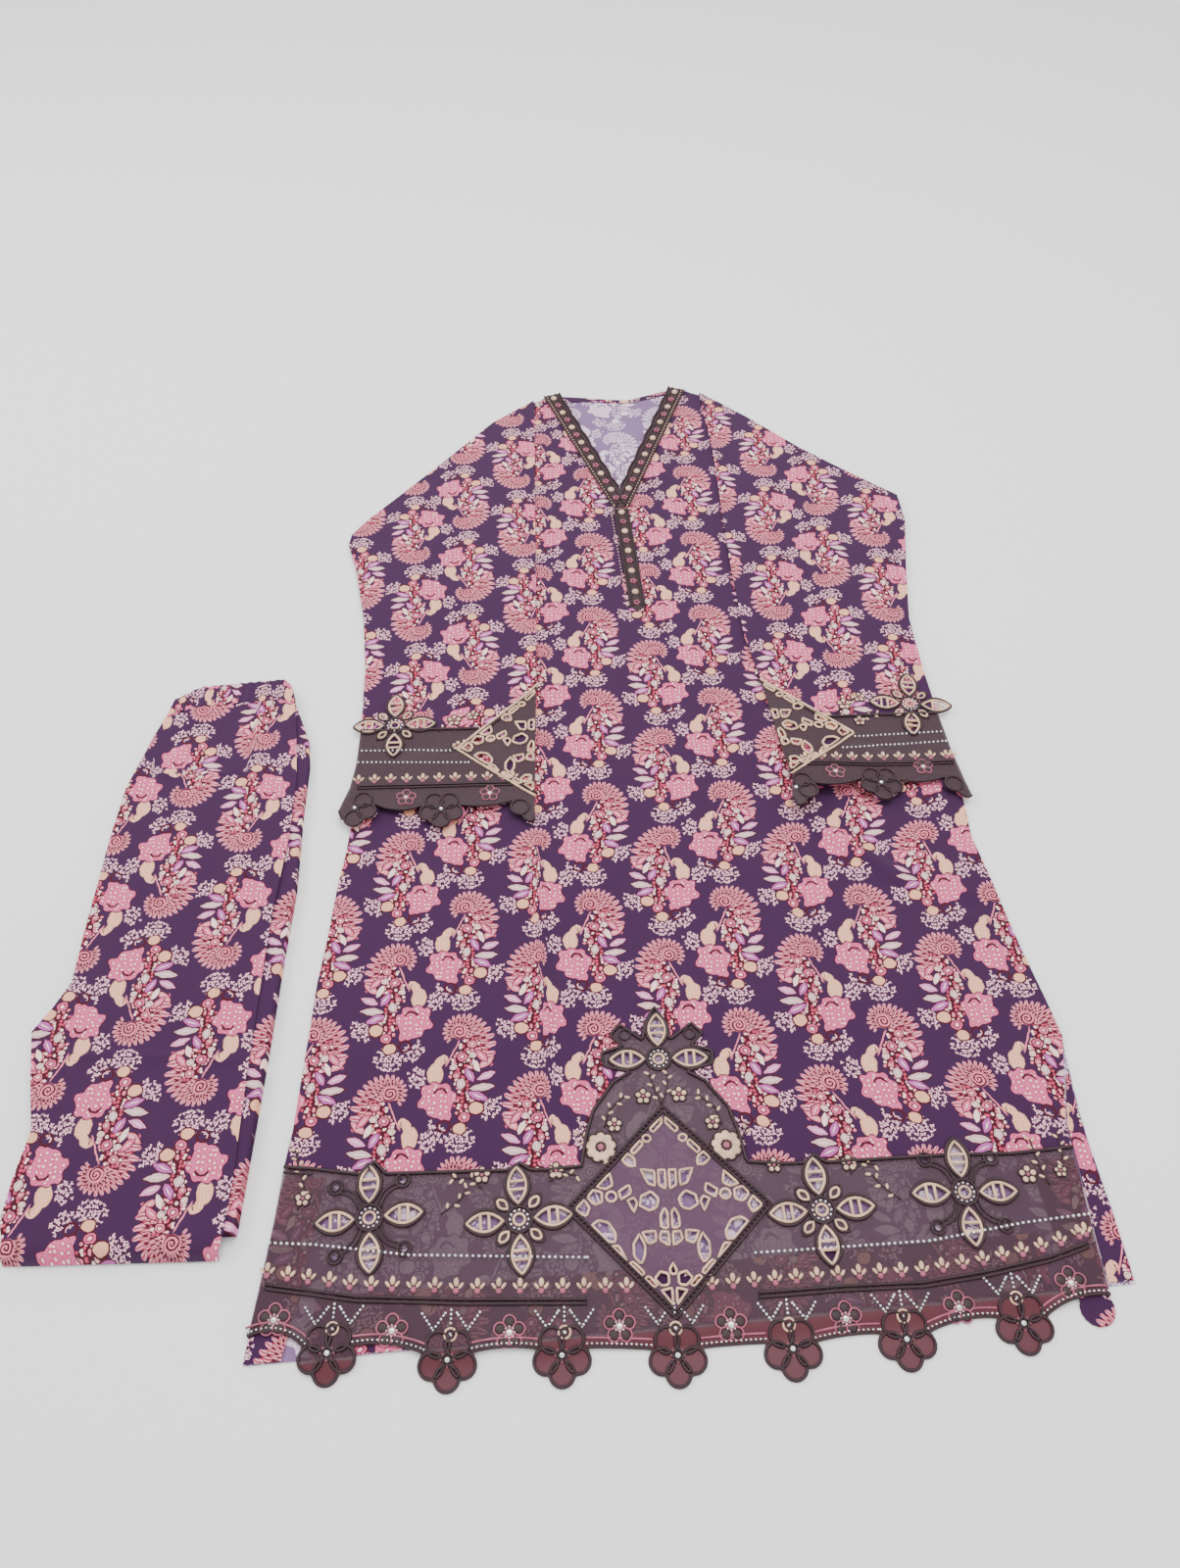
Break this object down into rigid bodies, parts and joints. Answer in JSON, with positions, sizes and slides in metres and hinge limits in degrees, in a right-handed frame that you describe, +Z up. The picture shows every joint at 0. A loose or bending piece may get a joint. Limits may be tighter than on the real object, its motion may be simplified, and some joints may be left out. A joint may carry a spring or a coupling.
{
  "type": "kurta set, long printed kurta with cutwork border and folded trousers",
  "caption": "Women's long kurta laid flat, sleeves folded down, V neck with corded trim and a sheer scalloped cutwork border, with matching printed trousers folded beside it",
  "frame": {"origin": "middle of the footprint, on the surface that the set lies on", "axes": "+X to the right and +Y to the shoulders as the front is seen, +Z up from the surface"},
  "size_m": [0.825, 1.14, 0.016],
  "materials": {
    "print": "matte printed cotton, purple ground with pink and cream paisleys",
    "print_inside": "wrong side of the print, pale lilac",
    "organza": "sheer wine organza with corded cutwork",
    "trim": "corded trim with cream beads"
  },
  "bodies": {
    "root": {"kurta_back": "print_inside", "back_hem_turn": "print", "back_neck_band": "print", "back_slit_facing": "print", "kurta_front": "print", "slit_facing_left": "print", "slit_facing_right": "print", "front_border": "organza", "front_diamond": "organza", "sleeve_left_print": "print", "sleeve_left_border": "organza", "sleeve_left_diamond": "organza", "sleeve_left_under": "print", "sleeve_right_print": "print", "sleeve_right_border": "organza", "sleeve_right_diamond": "organza", "sleeve_right_under": "print", "neck_trim_left": "trim", "neck_trim_right": "trim", "placket_trim": "trim", "trousers_folded_legs": "print", "trousers_leg": "print", "trousers_waistband": "print"}
  },
  "joints": []
}
